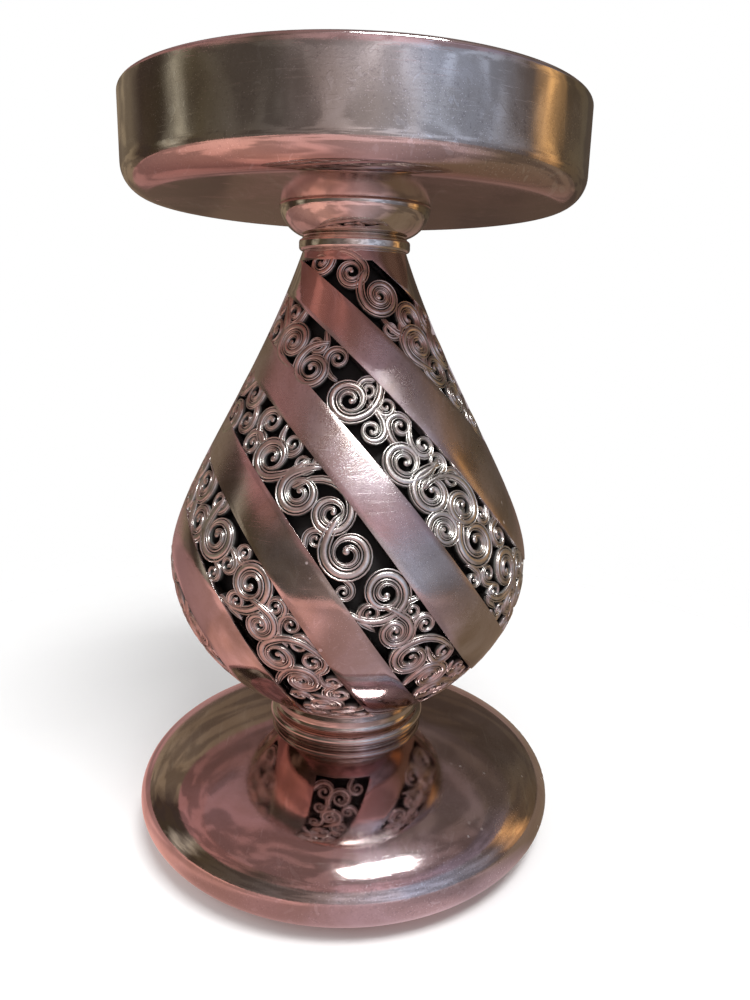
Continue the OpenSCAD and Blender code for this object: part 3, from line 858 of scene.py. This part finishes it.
# Tones of the studio flats, by azimuth in degrees from the front.
SCREEN = (
    (-180, (0.10, 0.06, 0.045)), (-140, (0.34, 0.26, 0.17)), (-126, (0.34, 0.26, 0.17)),
    (-114, (0.07, 0.045, 0.03)), (-98, (0.06, 0.045, 0.025)), (-87, (0.62, 0.55, 0.42)),
    (-77, (0.11, 0.085, 0.05)), (-36, (0.17, 0.145, 0.13)), (-14, (0.42, 0.33, 0.32)),
    (6, (1.05, 0.92, 0.96)), (30, (0.80, 0.88, 1.12)), (56, (0.46, 0.49, 0.60)),
    (80, (0.22, 0.17, 0.15)), (97, (1.25, 0.68, 0.26)), (108, (0.16, 0.11, 0.06)),
    (136, (0.12, 0.095, 0.065)), (180, (0.10, 0.06, 0.045)),
)
UPPER_SCREEN = (
    (-180, (0.16, 0.11, 0.10)), (-120, (0.46, 0.22, 0.20)), (-75, (0.60, 0.29, 0.27)),
    (-45, (0.16, 0.12, 0.095)), (-15, (0.62, 0.36, 0.36)), (15, (0.95, 0.62, 0.68)),
    (60, (0.34, 0.28, 0.36)), (120, (0.16, 0.12, 0.09)), (180, (0.16, 0.11, 0.10)),
)
ROOF = (
    (-180, (0.22, 0.15, 0.15)), (-100, (0.50, 0.26, 0.25)), (-30, (0.50, 0.29, 0.28)),
    (30, (0.44, 0.30, 0.33)), (110, (0.24, 0.18, 0.16)), (180, (0.22, 0.15, 0.15)),
)
GROUND = (
    (-180, (0.35, 0.20, 0.18)), (-120, (0.60, 0.30, 0.27)), (-60, (1.15, 0.60, 0.50)),
    (-20, (1.00, 0.56, 0.53)), (12, (1.20, 0.84, 0.90)), (40, (0.70, 0.52, 0.56)),
    (70, (0.26, 0.19, 0.13)), (130, (0.24, 0.17, 0.12)), (180, (0.35, 0.20, 0.18)),
)


def screen(name, tones, low, high):
    """Curved studio flat round the stand."""
    bm = bmesh.new()
    foot, top = ((SCREEN_R, 0, z) for z in (low, high))
    edge = bm.edges.new((bm.verts.new(foot), bm.verts.new(top)))
    bmesh.ops.spin(
        bm, geom=[edge, *edge.verts], cent=(0, 0, 0), axis=(0, 0, 1),
        angle=TURN, steps=180, use_merge=True, use_duplicate=False)
    stage_flat(bm, name, tones)


def toned(name, tones):
    """A glowing surface with tones by azimuth, dimmed in clouds."""
    paint = Paint(name)
    tone = paint.azimuth() + 0.06 * (paint.noise(5, 3, warp=0.5) - 0.5)
    stops = [(azimuth_deg / 360 + 0.5, colour) for azimuth_deg, colour in tones]
    ramp = paint.node("ShaderNodeValToRGB", {"stops": stops}, {"Fac": tone})
    shade = paint.between(paint.noise(4, 3, 0.5, (1, 1, 2.5), warp=0.8), 0.45, 0.53, 0.0, 0.5)
    glow = paint.mix(shade, ramp.outputs["Color"], (0.05, 0.035, 0.03))
    paint.set(Base_Color=(0, 0, 0), Emission_Color=glow, Emission_Strength=1.0, Roughness=1.0)
    return paint.material


def disc(name, z, radius, tones):
    """Round flat over or under the stand."""
    bm = bmesh.new()
    bmesh.ops.create_circle(bm, cap_ends=True, radius=radius, segments=48)
    bmesh.ops.translate(bm, verts=bm.verts, vec=(0, 0, z))
    stage_flat(bm, name, tones)


def stage_flat(bm, name, tones):
    """A toned flat that only reflections see."""
    obj = linked(bm, name, toned(name, tones))
    obj.visible_camera = False
    obj.visible_diffuse = False
    obj.visible_shadow = False


def make_floor():
    """Pale floor that fades out round the stand's shadow."""
    bm = bmesh.new()
    bmesh.ops.create_grid(bm, x_segments=2, y_segments=2, size=3)
    p = Paint("pale floor")
    tone = p.noise(30, 3)
    p.set(Base_Color=p.mix(tone, (0.86, 0.86, 0.86), (0.89, 0.89, 0.89)), Roughness=0.8)
    at = p.node("ShaderNodeTexCoord").outputs["Object"]
    away = p.node("ShaderNodeVectorMath", {"operation": "LENGTH"}, {0: at}).outputs["Value"]
    p.set(Alpha=p.between(away, 0.07, 0.26, 1.0, 0.0))
    obj = linked(bm, "floor", p.material)
    obj.visible_glossy = False


def make_world():
    """White surround for the camera, metal and glass, and a dimmer one for the light."""
    world = bpy.data.worlds.new("studio")
    bpy.context.scene.world = world
    world.use_nodes = True
    tree = world.node_tree
    back = tree.nodes["Background"]
    path = tree.nodes.new("ShaderNodeLightPath")
    seen = tree.nodes.new("ShaderNodeMath")
    seen.operation = "MAXIMUM"
    tree.links.new(path.outputs["Is Camera Ray"], seen.inputs[0])
    tree.links.new(path.outputs["Is Transmission Ray"], seen.inputs[1])
    both = tree.nodes.new("ShaderNodeMath")
    both.operation = "MAXIMUM"
    tree.links.new(seen.outputs[0], both.inputs[0])
    tree.links.new(path.outputs["Is Glossy Ray"], both.inputs[1])
    level = tree.nodes.new("ShaderNodeMapRange")
    level.inputs["To Min"].default_value = LIGHT_LEVEL
    level.inputs["To Max"].default_value = 1.0
    tree.links.new(both.outputs[0], level.inputs["Value"])
    tree.links.new(level.outputs[0], back.inputs["Strength"])
    back.inputs["Color"].default_value = (1, 1, 1, 1)


make_floor()
make_world()
soft_light("key softbox", (0.14, -0.30, 0.70), CENTRE, (0.34, 0.2), 5)
soft_light("left softbox", (-0.7, -0.3, 0.5), CENTRE, (0.5, 0.7), 3).visible_glossy = False
screen("studio screen", SCREEN, SCREEN_FOOT, SCREEN_SPLIT)
screen("upper screen", UPPER_SCREEN, SCREEN_SPLIT, SCREEN_TOP)
disc("roof flat", 0.72, FLAT_R, ROOF)
disc("ground flat", -0.001, FLAT_R, GROUND)


def make_camera():
    """Camera a little above the stand's middle, that looks slightly down."""
    pitch, roll, yaw = CAMERA_PITCH, CAMERA_ROLL, CAMERA_YAW
    forward = Vector((math.sin(yaw) * math.cos(pitch), math.cos(yaw) * math.cos(pitch),
                      -math.sin(pitch)))
    right = forward.cross(Vector((0, 0, 1))).normalized()
    up = right.cross(forward)
    side = math.cos(roll) * right + math.sin(roll) * up
    top = -math.sin(roll) * right + math.cos(roll) * up
    data = bpy.data.cameras.new("camera")
    data.sensor_width = SENSOR
    data.lens = LENS
    data.clip_start, data.clip_end = 0.01, 20
    cam = bpy.data.objects.new("camera", data)
    turn = Matrix((side, top, -forward)).transposed().to_4x4()
    cam.matrix_world = Matrix.Translation(Vector(CAMERA_PLACE) * MM) @ turn
    bpy.context.scene.collection.objects.link(cam)
    bpy.context.scene.camera = cam


make_camera()
bpy.context.scene.view_settings.view_transform = "Standard"
